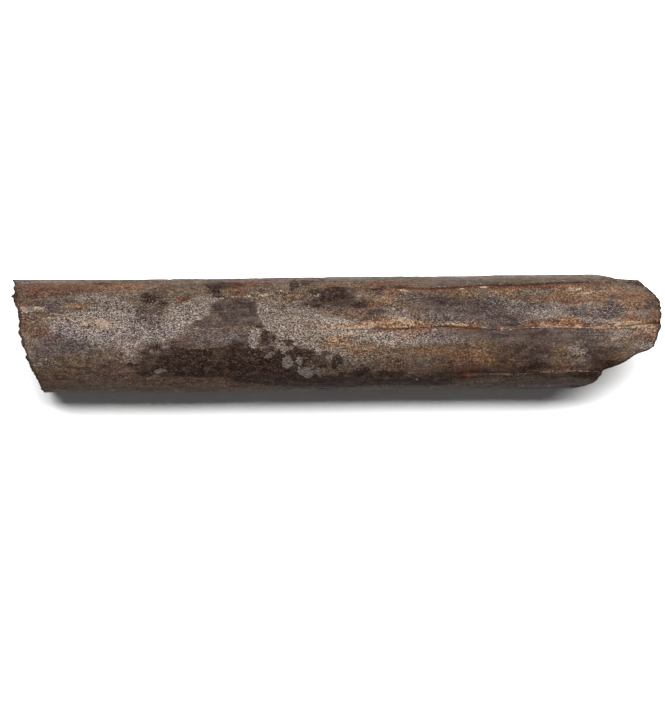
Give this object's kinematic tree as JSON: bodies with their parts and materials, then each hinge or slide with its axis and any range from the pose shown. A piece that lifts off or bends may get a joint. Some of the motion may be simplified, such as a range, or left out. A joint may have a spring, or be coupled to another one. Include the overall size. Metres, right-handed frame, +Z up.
{
  "type": "pterosaur wing bone fossil",
  "caption": "Broken length of a fossil pterosaur wing bone: a straight, stone-filled shaft, cracked lengthwise, square at one end and drawn out to a tongue at the other, lying on its flat side.",
  "frame": {"origin": "under the middle of the bone's bounding box, on the plane that it rests on", "axes": "+X along the shaft towards the end with the tongue, +Y across it, +Z up from the flattened underside"},
  "size_m": [0.1499, 0.027, 0.0215],
  "materials": {
    "fossil_bone": "matte"
  },
  "bodies": {
    "root": {"wing_bone": "fossil_bone"}
  },
  "joints": []
}
